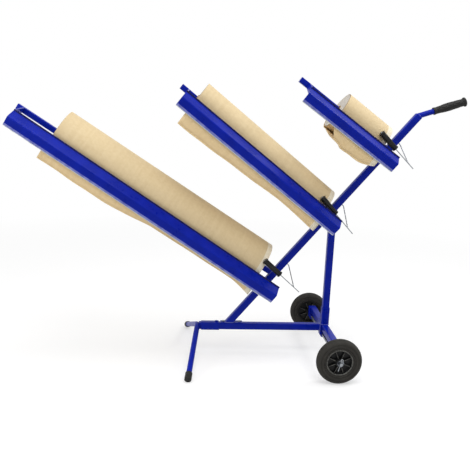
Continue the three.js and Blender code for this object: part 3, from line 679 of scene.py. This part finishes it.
class MakeWelds(bpy.types.Operator):
    """Weld beads where the tubes of the stand meet"""

    bl_idname = "dispenser.welds"
    bl_label = "Weld beads"

    # Metres: from ripple to ripple, and how flat the end of a tube is
    RIPPLE, FLAT = 0.002, 0.0004

    def execute(self, context):
        under = -joint_axis("tape_holder_large_swing")
        up_mast = under.cross(AWAY)
        ahead = Vector((1, 0, 0))
        roots = [("mast", -UP, ahead), ("strut", -under, up_mast), ("strut_socket", -UP, ahead),
                 ("handle_tube", -up_mast, under), ("base_tube", ahead, UP)]
        for size in SIZES:
            roots.append((f"mandrel_{size}", under, up_mast))
            roots.append((f"bar_bracket_{size}", AWAY, joint_axis(f"roll_{size}_spin")))
        bm = bmesh.new()
        for node, toward, level in roots:
            self.bead(bm, node, toward, level, context.scene.dispenser_enamel.bead)
        add_piece("weld_beads_steel", bm, "frame", bead_highlight_enamel, sharp=60)
        return {"FINISHED"}

    def bead(self, bm, node, toward, level, radius):
        """One bead round the end of a CAD node that faces toward."""
        square = frame_at((0, 0, 0), toward, level)
        places = [square.inverted() @ v.co for v in frame["nodes"][node].data.vertices]
        end = max(place.z for place in places)
        rim = sorted({tuple(place) for place in places if end - place.z < self.FLAT})
        # The hull leaves out the tube's bore. It is turned to start at its first corner
        hull = geometry.convex_hull_2d([place[:2] for place in rim])
        first = hull.index(min(hull))
        corners = [Vector(rim[index]) for index in hull[first:] + hull[:first]]
        path = []
        for here, after in zip(corners, corners[1:] + corners[:1]):
            steps = max(1, round((after - here).length / self.RIPPLE))
            path += [square @ here.lerp(after, step / steps) for step in range(steps)]
        swept(bm, path + path[:1], radius, sides=10, ripple=0.12)


class MakeFasteners(bpy.types.Operator):
    """Screws, plugs, axle rod, washers and split pins"""

    bl_idname = "dispenser.fasteners"
    bl_label = "Axle and fasteners"

    def execute(self, context):
        for node in ("mast_screw_front", "mast_screw_rear", "axle_rod"):
            dress(node, f"{node}_zinc", zinc_plate, edge=0.0004)
        for node in ("strut_screw_lower", "strut_screw_upper"):
            dress(node, f"{node}_steel", enamel, edge=0.0004)
        for side in SIDES:
            dress(f"washer_{side}", f"washer_{side}_zinc", dulled_zinc, edge=0.0003)
            dress(f"split_pin_{side}", f"split_pin_{side}_zinc", zinc_plate, sharp=60)
            dress(f"beam_plug_{side}", f"beam_plug_{side}_moulding", moulded_plastic,
                  edge=0.0008)
        return {"FINISHED"}


class MakeWheels(bpy.types.Operator):
    """Moulded rims with spokes, and their solid tyres"""

    bl_idname = "dispenser.wheels"
    bl_label = "Wheels"

    # Radius and height in metres: the rim from its web outwards to the eased lip, the hub from
    # its bore outwards, and the web
    RIM = [(0.0400, 0.002), (0.0423, 0.004), (0.0423, 0.0136), (0.0435, 0.015),
           (0.0463, 0.015), (0.0475, 0.0138)]
    HUB = [(0.0063, 0.0205), (0.0068, 0.021), (0.0138, 0.021), (0.015, 0.0198), (0.0156, 0)]
    WEB = [(0.014, 0.002), (0.0415, 0.002)]
    # The rim is scuffed and carries a painted highlight further out than this radius and height
    SCUFFED, SCUFFED_HEIGHT = 0.0425, 0.013
    # A spoke's root and tip on the radius, its height, what is left of its width and height at
    # the tip, and its eased edges
    ROOT, TIP, SPOKE_HEIGHT, SPOKE_TIP, SPOKE_EASE = 0.013, 0.0415, 0.024, (0.75, 0.82), 0.0008
    TYRE_BORE = 0.0478
    # Share of the tyre's depth from its bore, and share of its half width there
    TREAD = [(0, 0.70), (0.05, 0.80), (0.10, 0.88), (0.13, 0.95), (0.16, 0.95), (0.18, 0.88),
             (0.25, 0.88), (0.28, 0.97), (0.38, 1.0), (0.50, 0.99), (0.525, 0.91), (0.60, 0.90),
             (0.625, 0.965), (0.72, 0.92), (0.80, 0.84), (0.88, 0.72), (0.94, 0.56),
             (0.98, 0.36), (0.965, 0.33), (0.965, 0.27), (0.995, 0.24), (1.0, 0.06),
             (0.985, 0.03)]

    def execute(self, context):
        for side, sign in SIDES.items():
            low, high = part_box(f"tyre_{side}")
            upright = frame_at((low + high) / 2, AWAY * sign, UP)
            self.rim(context.scene.dispenser_wheels, side, upright)
            self.tyre(side, upright, (high.z - low.z) / 2, (high.y - low.y) / 2)
        return {"FINISHED"}

    def rim(self, settings, side, upright):
        bm = bmesh.new()
        turned(bm, mirrored(self.RIM), steps=96)
        for face in bm.faces:
            middle = face.calc_center_median()
            # Faces on the outer lip get the scuffs and painted highlight
            if middle.z > self.SCUFFED_HEIGHT and middle.xy.length > self.SCUFFED:
                face.material_index = 1
        turned(bm, mirrored(self.HUB), steps=64)
        turned(bm, mirrored(self.WEB), steps=96)
        size = (self.TIP - self.ROOT, settings.spoke_width, self.SPOKE_HEIGHT)
        # The spokes' faces get the scuffs and painted highlight too
        fins(bm, settings.spokes, size, self.ROOT, self.SPOKE_EASE, self.SPOKE_TIP, 0.5, 1)
        add_piece(f"wheel_{side}_rim", bm, f"wheel_{side}_set", rim_plastic,
                  (f"wheel_{side}",), 30, (scuffs_and_highlight_plastic,), upright)

    def tyre(self, side, upright, radius, half):
        bm = bmesh.new()
        depth = radius - self.TYRE_BORE
        flank = [(self.TYRE_BORE + out * depth, wide * half) for out, wide in self.TREAD]
        turned(bm, mirrored(flank), steps=128)
        add_piece(f"tyre_{side}_rubber", bm, f"wheel_{side}_set", tyre_rubber,
                  (f"tyre_{side}",), sharp=32, place=upright)


class MakeGrip(bpy.types.Operator):
    """Moulded grip on the handle: a collar, a swelling body with crossed grooves, a flange"""

    bl_idname = "dispenser.grip"
    bl_label = "Handle grip"

    # Share of the grip's length and its radius in metres
    SKIN = [(0, 0.0135), (0.04, 0.0135), (0.08, 0.0125), (0.25, 0.0139), (0.42, 0.0155),
            (0.6, 0.015), (0.8, 0.0142), (0.93, 0.0137)]
    FLANGE = [(0.945, 0.0166), (0.955, 0.017), (0.98, 0.017), (0.992, 0.0158), (1, 0.0132)]
    # Rows of faces up to the skin's end, and shares of the length that the grooves lie between
    SKIN_END, ROWS, GROOVED = 0.93, 62, (0.1, 0.92)
    # Degrees above level
    TILT = 18.8
    # Metres, but for the number of grooves round the grip
    BORE, END_WALL = 0.0103, 0.006
    GROOVE_DEPTH, GROOVE_PITCH, GROOVES = 0.0011, 0.026, 6

    def execute(self, context):
        tilt = math.radians(self.TILT)
        along = frame_at((0, 0, 0), (math.cos(tilt), 0, math.sin(tilt)))
        low, high = local_box("handle_grip", along)
        middle = (low + high) / 2
        length = high.z - low.z
        steps = [self.SKIN_END * row / self.ROWS for row in range(self.ROWS + 1)]
        skin = [(smooth_value(self.SKIN, share), share * length) for share in steps]
        flange = [(radius, share * length) for share, radius in self.FLANGE]
        bm = bmesh.new()
        turned(bm, [(0, length - self.END_WALL), (self.BORE, length - self.END_WALL),
                    (self.BORE, 0), *skin, *flange, (0, length)], steps=96, closed=False)
        start, end = self.GROOVED
        for vert in bm.verts:
            out = vert.co.xy.length
            if out > self.BORE + MERGE and start < vert.co.z / length < end:
                vert.co.xy *= 1 - self.groove(vert.co) / out
        place = along @ Matrix.Translation((middle.x, middle.y, low.z))
        add_piece("handle_grip_vinyl", bm, "frame", grip_rubber, ("handle_grip",),
                  sharp=50, place=place)
        return {"FINISHED"}

    def groove(self, place):
        """Depth of the moulded pattern: two sets of grooves that cross at a slant."""
        turn = self.GROOVES * math.atan2(place.y, place.x)
        slant = math.tau * place.z / self.GROOVE_PITCH
        return self.GROOVE_DEPTH * max(0, math.cos(turn + slant), math.cos(turn - slant)) ** 3


class MakeRolls(bpy.types.Operator):
    """Wound paper on cardboard tubes"""

    bl_idname = "dispenser.rolls"
    bl_label = "Paper rolls"

    # Metres: the eased edge of a roll, and how far its turns are out of line at the ends
    EASE, STEP = 0.0007, 0.00035
    # Rings across the end and along the side, and metres from the skin of the last ones
    RINGS, SIDE_RINGS, LAST_RINGS = 12, 8, (0.004, 0.0018, EASE)
    # Scale of the noise that sets the turns out of line, per metre of radius
    UNEVEN = 260

    def execute(self, context):
        for size in SIZES:
            matrix = arm_frame(size)
            low, high = local_box(f"paper_roll_{size}", matrix)
            bore = local_box(f"roll_core_{size}", matrix)[1].x + GAP
            self.roll(size, matrix, high.y, bore, low.z, high.z)
            dress(f"roll_core_{size}", f"roll_core_{size}_board", cardboard,
                  f"roll_{size}", edge=0.0004)
        return {"FINISHED"}

    def roll(self, size, matrix, radius, bore, start, end):
        bm = bmesh.new()
        ease = self.EASE
        inner = [bore + (radius - ease - bore) * i / self.RINGS for i in range(self.RINGS)]
        inner += [radius - inward for inward in self.LAST_RINGS]
        # Each ring is set in at random, so the ends have shallow steps
        depth = [self.STEP * noise.noise(Vector((r * self.UNEVEN, len(size), 0))) for r in inner]
        lower = [(r, start + GAP + d) for r, d in zip(inner, depth)]
        upper = [(r, end - GAP - d) for r, d in zip(inner, depth)]
        length = end - start - 2 * ease
        side = [(radius, start + ease + length * i / self.SIDE_RINGS)
                for i in range(self.SIDE_RINGS + 1)]
        turned(bm, lower + side + upper[::-1], steps=128)
        self.mark(bm, start, radius)
        for face in bm.faces:
            face.material_index = int(abs(face.normal.z) > 0.6)
        add_piece(f"paper_roll_{size}_wound", bm, f"roll_{size}", paper,
                  (f"paper_roll_{size}",), 30, (paper_edges,), matrix)

    def mark(self, bm, start, reach):
        """Keeps each point's distance from the mast end, the roll's middle and its skin."""
        layers = bm.verts.layers.float
        from_mast, radius, inward = map(layers.new, ("from_mast", "radius", "inward"))
        for vert in bm.verts:
            vert[from_mast] = vert.co.z - start
            vert[radius] = vert.co.xy.length
            vert[inward] = reach - vert.co.xy.length


class MakeTails(bpy.types.Operator):
    """Loose paper that hangs from each roll and comes up behind the blade"""

    bl_idname = "dispenser.tails"
    bl_label = "Hanging paper"

    # Share of the roll from its mast end, and depth of the paper's lowest line as a share
    # of the blade's depth below the arm
    HANG = {
        "large": [(0, 1.29), (0.05, 1.15), (0.11, 1.03), (0.25, 0.98), (0.39, 1), (0.49, 1.07),
                  (0.57, 1.17), (0.71, 1.28), (0.86, 1.25), (1, 1.21)],
        "medium": [(0, 1.52), (0.12, 1.46), (0.27, 1.43), (0.45, 1.52), (0.63, 1.62),
                   (0.8, 1.71), (1, 1.78)],
        "small": [(0, 1.22), (0.1, 1.36), (0.28, 1.53), (0.5, 1.56), (0.7, 1.58), (0.76, 1.5),
                  (1, 1.43)],
    }
    # Depth in metres and tilt in degrees of each cutting edge, and the start of its roll
    BLADE = {"large": (0.0739, 0.76, 0.0668), "medium": (0.0576, -0.45, 0.0392),
             "small": (0.0715, -0.3, 0.0394)}
    # Metres: how far a roll hangs below its arm, where the paper comes up in front of it, and
    # how far the paper stays inside the ends of its roll
    ROLL_HANG, FRONT, INSET = 0.00212, -0.13, 0.0006
    # The sheet goes round its roll in steps of some degrees and slowly comes away from it, then
    # a free curve takes over before the last step
    STEPS, STEP_TURN, STEP_AWAY, FIRST_GAP, LEAVES = 6, 20, 0.0012, 0.0007, 4.5
    # It goes at least this far below the blade, turns up in a bend and ends behind the blade
    BELOW, TURN_UP, BEHIND = 0.007, 0.014, 0.0055
    # How far the small sheet's outer corner was pulled askew, and where round the sheet
    SKEW, SKEW_PLACE, SKEW_REACH = 0.026, 0.78, 0.2
    # Places round the sheet that the waves grow from and are full at, seen from either end
    FREE, CAUGHT = (0.45, 0.65), (0.97, 0.85)
    # Noise of the waves and of the ripples: scale per metre along the roll, scale round the
    # sheet, and what makes each roll's noise its own
    WAVE, RIPPLE = (13, 3.2, 7.1), (41, 7, 3.3)
    # Grid squares round the sheet, and the length of one along the roll
    AROUND, ALONG = 56, 0.008

    def execute(self, context):
        settings = context.scene.dispenser_paper
        for size in SIZES:
            matrix = arm_frame(size)
            low, high = local_box(f"paper_roll_{size}", matrix)
            tail = self.tail(settings, size, matrix, high.y, low.z, high.z)
            wall = tail.modifiers.new("Paper", "SOLIDIFY")
            wall.thickness = settings.thickness
            wall.offset = 1
        return {"FINISHED"}

    def tail(self, settings, size, matrix, radius, start, end):
        length = end - start
        bm = bmesh.new()
        bmesh.ops.create_grid(bm, x_segments=max(40, int(length / self.ALONG)),
                              y_segments=self.AROUND, size=0.5)
        from_mast = bm.verts.layers.float.new("from_mast")
        for vert in bm.verts:
            share, turn = vert.co.x + 0.5, vert.co.y + 0.5
            vert[from_mast] = share * length
            out = self.INSET + share * (length - 2 * self.INSET)
            vert.co = self.point(settings, size, radius, start, out, share, turn)
        return add_piece(f"paper_tail_{size}_sheet", bm, "frame", loose_paper,
                         (f"paper_tail_{size}",), sharp=70, place=matrix)

    def round_roll(self, radius, step):
        angle = math.radians(step * self.STEP_TURN)
        reach = radius + self.FIRST_GAP + step * self.STEP_AWAY
        return Vector((-reach * math.sin(angle), reach * math.cos(angle)))

    def point(self, settings, size, radius, start, out, share, turn):
        """Place of one point of the sheet: turn 0 is on the roll's back, 1 behind the blade."""
        drop, tilt, roll_start = self.BLADE[size]
        fall = -drop * smooth_value(self.HANG[size], share) + self.ROLL_HANG
        blade = (roll_start + out) * math.tan(math.radians(tilt)) - drop + self.ROLL_HANG
        under = [self.round_roll(radius, step) for step in range(self.STEPS)]
        low, front, bend = min(fall, blade - self.BELOW), self.FRONT, self.TURN_UP
        rise = [(low, front + bend), (low + bend / 4, front + bend / 4), (low + bend, front),
                (max(blade + self.BEHIND, low + 1.3 * bend), front)]
        path = under + [Vector(place) for place in rise]
        steps = turn * (len(path) - 1)
        height, depth = (self.round_roll(radius, steps) if steps < self.LEAVES
                         else curve_point(path, turn))
        place = start + out
        if size == "small":
            bulge = max(0, 1 - abs(turn - self.SKEW_PLACE) / self.SKEW_REACH)
            place -= self.SKEW * bulge * max(0, 2 * share - 1) ** 2
        # Waves grow where the paper hangs free, between the roll and the blade
        free = part_way(turn, *self.FREE) * part_way(turn, *self.CAUGHT)
        wave, ripple = (
            noise.noise(Vector((place * along, turn * around, len(size) * own)))
            for along, around, own in (self.WAVE, self.RIPPLE))
        height -= settings.crumple * free * max(0, 0.5 + wave)
        depth += settings.crumple * free * 0.5 * ripple
        return Vector((height, depth, place))


class MakeBars(bpy.types.Operator):
    """Folded cutter bars and their toothed blades"""

    bl_idname = "dispenser.bars"
    bl_label = "Cutter bars"

    # Metres from the arm's middle, less than 0 towards the front. The lip that the paper rubs,
    # with
    # # a painted highlight, lies between the first two, and the hem, in painted shade, behind the
    # # third. Both are lower than NARROW
    LIP_FRONT, LIP_BACK, HEM, NARROW = -0.138, -0.133, -0.12, 0.024

    def execute(self, context):
        for size in SIZES:
            bar = dress(f"cutter_bar_{size}", f"cutter_bar_{size}_sheet", enamel,
                        edge=0.0005, sharp=26)
            self.paint_lip_and_hem(bar, size)
            self.blade(context.scene.dispenser_blade, size)
        return {"FINISHED"}

    def paint_lip_and_hem(self, bar, size):
        """Paints the lip below the first fold paler, for the paper's polish and as a painted
        highlight, and the hem dark, as painted shade.
        """
        for finish in (lip_polish_highlight_enamel, hem_shade_enamel):
            bar.data.materials.append(finish_of(finish))
        back = arm_frame(size).inverted()
        for face in bar.data.polygons:
            place, normal = back @ face.center, back.to_3x3() @ face.normal
            heights = [(back @ bar.data.vertices[v].co).x for v in face.vertices]
            if normal.y > -0.8 or max(heights) - min(heights) > self.NARROW:
                continue
            if place.y > self.HEM:
                # The hem: painted shade
                face.material_index = 2
            elif self.LIP_FRONT < place.y < self.LIP_BACK:
                # The lip: the paper's polish and a painted highlight
                face.material_index = 1

    def blade(self, settings, size):
        """Teeth: the long edges are cut into short ones, and every second point moves up."""
        bm = cad_shape(f"cutter_blade_{size}")
        matrix = arm_frame(size)
        long_edges = [e for e in bm.edges if e.calc_length() > 0.1]
        length = max(e.calc_length() for e in long_edges)
        cuts = 2 * int(length / settings.pitch) - 1
        bmesh.ops.subdivide_edges(bm, edges=long_edges, cuts=cuts, use_grid_fill=True)
        back = matrix.inverted()
        edge = self.lowest_line(bm, back)
        lift = matrix.to_3x3() @ Vector((1, 0, 0))
        for vert in sorted(edge, key=lambda v: (back @ v.co).z)[1:-1:2]:
            vert.co += lift * settings.depth
        add_piece(f"cutter_blade_{size}_toothed", bm, "frame", ground_steel,
                  (f"cutter_blade_{size}",), sharp=20)

    def lowest_line(self, bm, back):
        """Points along the blade's cutting edge, which follows the bar's slight tilt."""
        ends = {}
        for vert in bm.verts:
            place = back @ vert.co
            key = round(place.z, 5)
            if key not in ends or place.x < ends[key][0]:
                ends[key] = (place.x, vert)
        return [vert for _, vert in ends.values()]


class MakeHolders(bpy.types.Operator):
    """Tape spools on their bent wires"""

    bl_idname = "dispenser.holders"
    bl_label = "Tape holders"

    # Metres: half of a spool, how far its wire goes on past it, where the stay joins that wire,
    # half of the mast, how far the stay goes through it and stands off it, and the stay's bend
    SPOOL_HALF, WIRE_END, STAY = 0.039, 0.098, 0.070
    MAST_HALF, STAY_IN, STAY_OUT, BEND = 0.0125, 0.006, 0.009, 0.007
    # The knob on the wire's end: radius and height
    KNOB = [(0, 0), (0.0040, 0), (0.0045, 0.0005), (0.0045, 0.0022), (0.0036, 0.0030),
            (0, 0.0030)]
    # The spool's bore, flanges, waist, flange width and eased edges. A rib's depth, width and
    # eased edges, and how far it goes into the waist and the flanges
    BORE, FLANGE, WAIST, FLANGE_WIDTH, EASE = 0.0021, 0.0115, 0.0090, 0.005, 0.0006
    RIB_DEPTH, RIB_WIDTH, RIB_EASE, RIB_SINK, RIB_OVERLAP = 0.0030, 0.0016, 0.0005, 0.002, 0.001

    def execute(self, context):
        for size in SIZES:
            spin = f"tape_spool_{size}_spin"
            place, along = joint_place(spin), joint_axis(spin)
            self.wires(context.scene.dispenser_holder, size, place, along)
            self.spool(context.scene.dispenser_holder, size, frame_at(place, along))
        return {"FINISHED"}

    def wires(self, settings, size, centre, along):
        pivot = joint_place(f"tape_holder_{size}_swing")
        out = -joint_axis(f"tape_holder_{size}_swing")
        radius = settings.wire / 2
        tip = centre + along * (self.SPOOL_HALF + GAP)
        bm = bmesh.new()
        turned(bm, self.KNOB, steps=32, closed=False)
        bmesh.ops.transform(bm, matrix=frame_at(tip, along), verts=bm.verts)
        swept(bm, [tip, centre - along * (self.SPOOL_HALF + self.WIRE_END)], radius, sides=16)
        stay = [pivot - out * self.STAY_IN, pivot + out * (self.MAST_HALF + self.STAY_OUT),
                centre - along * (self.SPOOL_HALF + self.STAY)]
        swept(bm, with_bends(stay, self.BEND, steps=8), radius, sides=16)
        add_piece(f"tape_holder_{size}_wire", bm, f"holder_{size}", zinc_plate,
                  (f"tape_holder_{size}",))

    def spool(self, settings, size, matrix):
        bm = bmesh.new()
        half, outer, ease = self.SPOOL_HALF, self.FLANGE, self.EASE
        inside = half - self.FLANGE_WIDTH
        flank = [(self.BORE, half), (outer - ease, half), (outer, half - ease),
                 (outer, inside + ease), (outer - ease, inside), (self.WAIST, inside - ease)]
        turned(bm, mirrored(flank), steps=48)
        rib = (self.RIB_DEPTH, self.RIB_WIDTH, 2 * (inside + self.RIB_OVERLAP))
        fins(bm, settings.ribs, rib, self.WAIST - self.RIB_SINK, self.RIB_EASE)
        add_piece(f"tape_spool_{size}_moulding", bm, f"spool_{size}", moulded_plastic,
                  (f"tape_spool_{size}",), sharp=30, place=matrix)


class MakeStage(bpy.types.Operator):
    """Pale floor, soft lamps and the photograph's camera"""

    bl_idname = "dispenser.stage"
    bl_label = "Stage"

    # The camera's place in metres, and how far it turns right, looks down and leans, in degrees
    CAMERA = (-0.214540, -2.166882, 0.920407)
    TURN, DOWN, LEAN = 5.1219, 11.9079, 2.5083
    # Name, place in metres, size in metres and power in watts
    LAMPS = [("Top lamp", (0.1, -0.9, 3.3), 2.2, 50),
             ("Left lamp", (-1.55, -1.3, 1.0), 0.9, 6.5),
             ("Right lamp", (2.0, 0.2, 2.6), 0.8, 17)]
    # What the lamps point at
    MIDDLE = Vector((0, 0, 0.45))
    # Metres: the floor shows shade up to the first distance and is plain white past the second
    FLOOR, SHADE_END, PLAIN = 30, 1.2, 3.0

    def execute(self, context):
        scene = context.scene
        scene.view_settings.view_transform = "Standard"
        self.camera(scene)
        self.room(scene)
        self.floor(scene)
        for lamp in self.LAMPS:
            self.lamp(scene, *lamp)
        return {"FINISHED"}

    def camera(self, scene):
        lens = bpy.data.cameras.new("Camera")
        lens.lens = scene.dispenser_stage.lens
        lens.sensor_width = 36
        camera = bpy.data.objects.new("Camera", lens)
        scene.collection.objects.link(camera)
        turn, down, lean = (math.radians(angle) for angle in (self.TURN, self.DOWN, self.LEAN))
        camera.matrix_world = (
            Matrix.Translation(self.CAMERA) @ Matrix.Rotation(-turn, 4, "Z")
            @ Matrix.Rotation(math.pi / 2 - down, 4, "X") @ Matrix.Rotation(lean, 4, "Z"))
        scene.camera = camera

    def room(self, scene):
        world = bpy.data.worlds.new("Pale room")
        world.use_nodes = True
        tree = world.node_tree
        base = tree.nodes["Background"]
        fill(tree, base, {"Color": WHITE, "Strength": scene.dispenser_stage.daylight})
        seen = add_node(tree, "Background", {"Color": WHITE, "Strength": 1})
        mix = add_node(tree, "MixShader", {
            0: background_rays(tree), 1: base.outputs["Background"],
            2: seen.outputs["Background"]})
        fill(tree, tree.nodes["World Output"], {"Surface": mix.outputs["Shader"]})
        scene.world = world

    def floor(self, scene):
        bm = bmesh.new()
        bmesh.ops.create_circle(bm, cap_ends=True, segments=96, radius=self.FLOOR)
        mesh = bpy.data.meshes.new("Floor")
        bm.to_mesh(mesh)
        bm.free()
        floor = bpy.data.objects.new("Floor", mesh)
        scene.collection.objects.link(floor)
        mesh.materials.append(self.floor_paint(scene.dispenser_stage.floor_glow))

    def floor_paint(self, brightness):
        """White paint that keeps the shadow near the object and shows no horizon."""
        material, tree, shader = new_material("White painted floor")
        fill(tree, shader, {"Base Color": colour("#C6C6C6"), "Roughness": 0.9,
                            "Specular IOR Level": 0.1})
        shows = background_rays(tree)
        # The floor's own glow makes it white under a plain light and keeps the shadow on it
        strength = add_node(tree, "MapRange", {"Value": shows, "To Max": brightness})
        glow = add_node(tree, "Emission", {"Strength": strength.outputs["Result"]})
        lit = add_node(tree, "AddShader", {
            0: shader.outputs["BSDF"], 1: glow.outputs["Emission"]})
        # Further out the floor turns plain white
        white = add_node(tree, "Emission", {"Color": WHITE, "Strength": 1})
        place = add_node(tree, "TexCoord").outputs["Object"]
        away = add_node(tree, "VectorMath", {0: place}, operation="LENGTH")
        far = add_node(tree, "MapRange", {
            "Value": away.outputs["Value"], "From Min": self.SHADE_END, "From Max": self.PLAIN,
            "To Max": shows})
        mix = add_node(tree, "MixShader", {
            0: far.outputs["Result"], 1: lit.outputs["Shader"], 2: white.outputs["Emission"]})
        fill(tree, tree.nodes["Material Output"], {"Surface": mix.outputs["Shader"]})
        return material

    def lamp(self, scene, name, place, size, power):
        light = bpy.data.lights.new(name, "AREA")
        light.size = size
        light.energy = power
        lamp = bpy.data.objects.new(name, light)
        lamp.visible_camera = False
        lamp.location = place
        aim = self.MIDDLE - Vector(place)
        lamp.rotation_euler = aim.to_track_quat("-Z", "Y").to_euler()
        scene.collection.objects.link(lamp)


# Panel


SETTINGS = {
    "dispenser_enamel": EnamelSettings, "dispenser_paper": PaperSettings,
    "dispenser_wheels": WheelSettings, "dispenser_holder": HolderSettings,
    "dispenser_blade": BladeSettings, "dispenser_stage": StageSettings,
}
MAKERS = (MakeStage, MakeFrame, MakeLegs, MakeWelds, MakeFasteners, MakeWheels, MakeGrip,
          MakeRolls, MakeTails, MakeBars, MakeHolders)


class DispenserPanel(bpy.types.Panel):
    """Lists the pieces and their sizes"""

    bl_idname = "VIEW3D_PT_dispenser"
    bl_label = "Masking paper dispenser"
    bl_space_type = "VIEW_3D"
    bl_region_type = "UI"
    bl_category = "Dispenser"

    def draw(self, context):
        for maker in MAKERS:
            self.layout.operator(maker.bl_idname)
        for name, group in SETTINGS.items():
            box = self.layout.box()
            box.label(text=group.__doc__)
            for prop in group.__annotations__:
                box.prop(getattr(context.scene, name), prop)


def register():
    for group in (*SETTINGS.values(), *MAKERS, DispenserPanel):
        bpy.utils.register_class(group)
    for name, group in SETTINGS.items():
        setattr(bpy.types.Scene, name, bpy.props.PointerProperty(type=group))


def unregister():
    for name in SETTINGS:
        delattr(bpy.types.Scene, name)
    for group in (DispenserPanel, *MAKERS, *SETTINGS.values()):
        bpy.utils.unregister_class(group)


def main():
    register()
    for maker in MAKERS:
        group, name = maker.bl_idname.split(".")
        getattr(getattr(bpy.ops, group), name)()


if __name__ == "__main__":
    main()
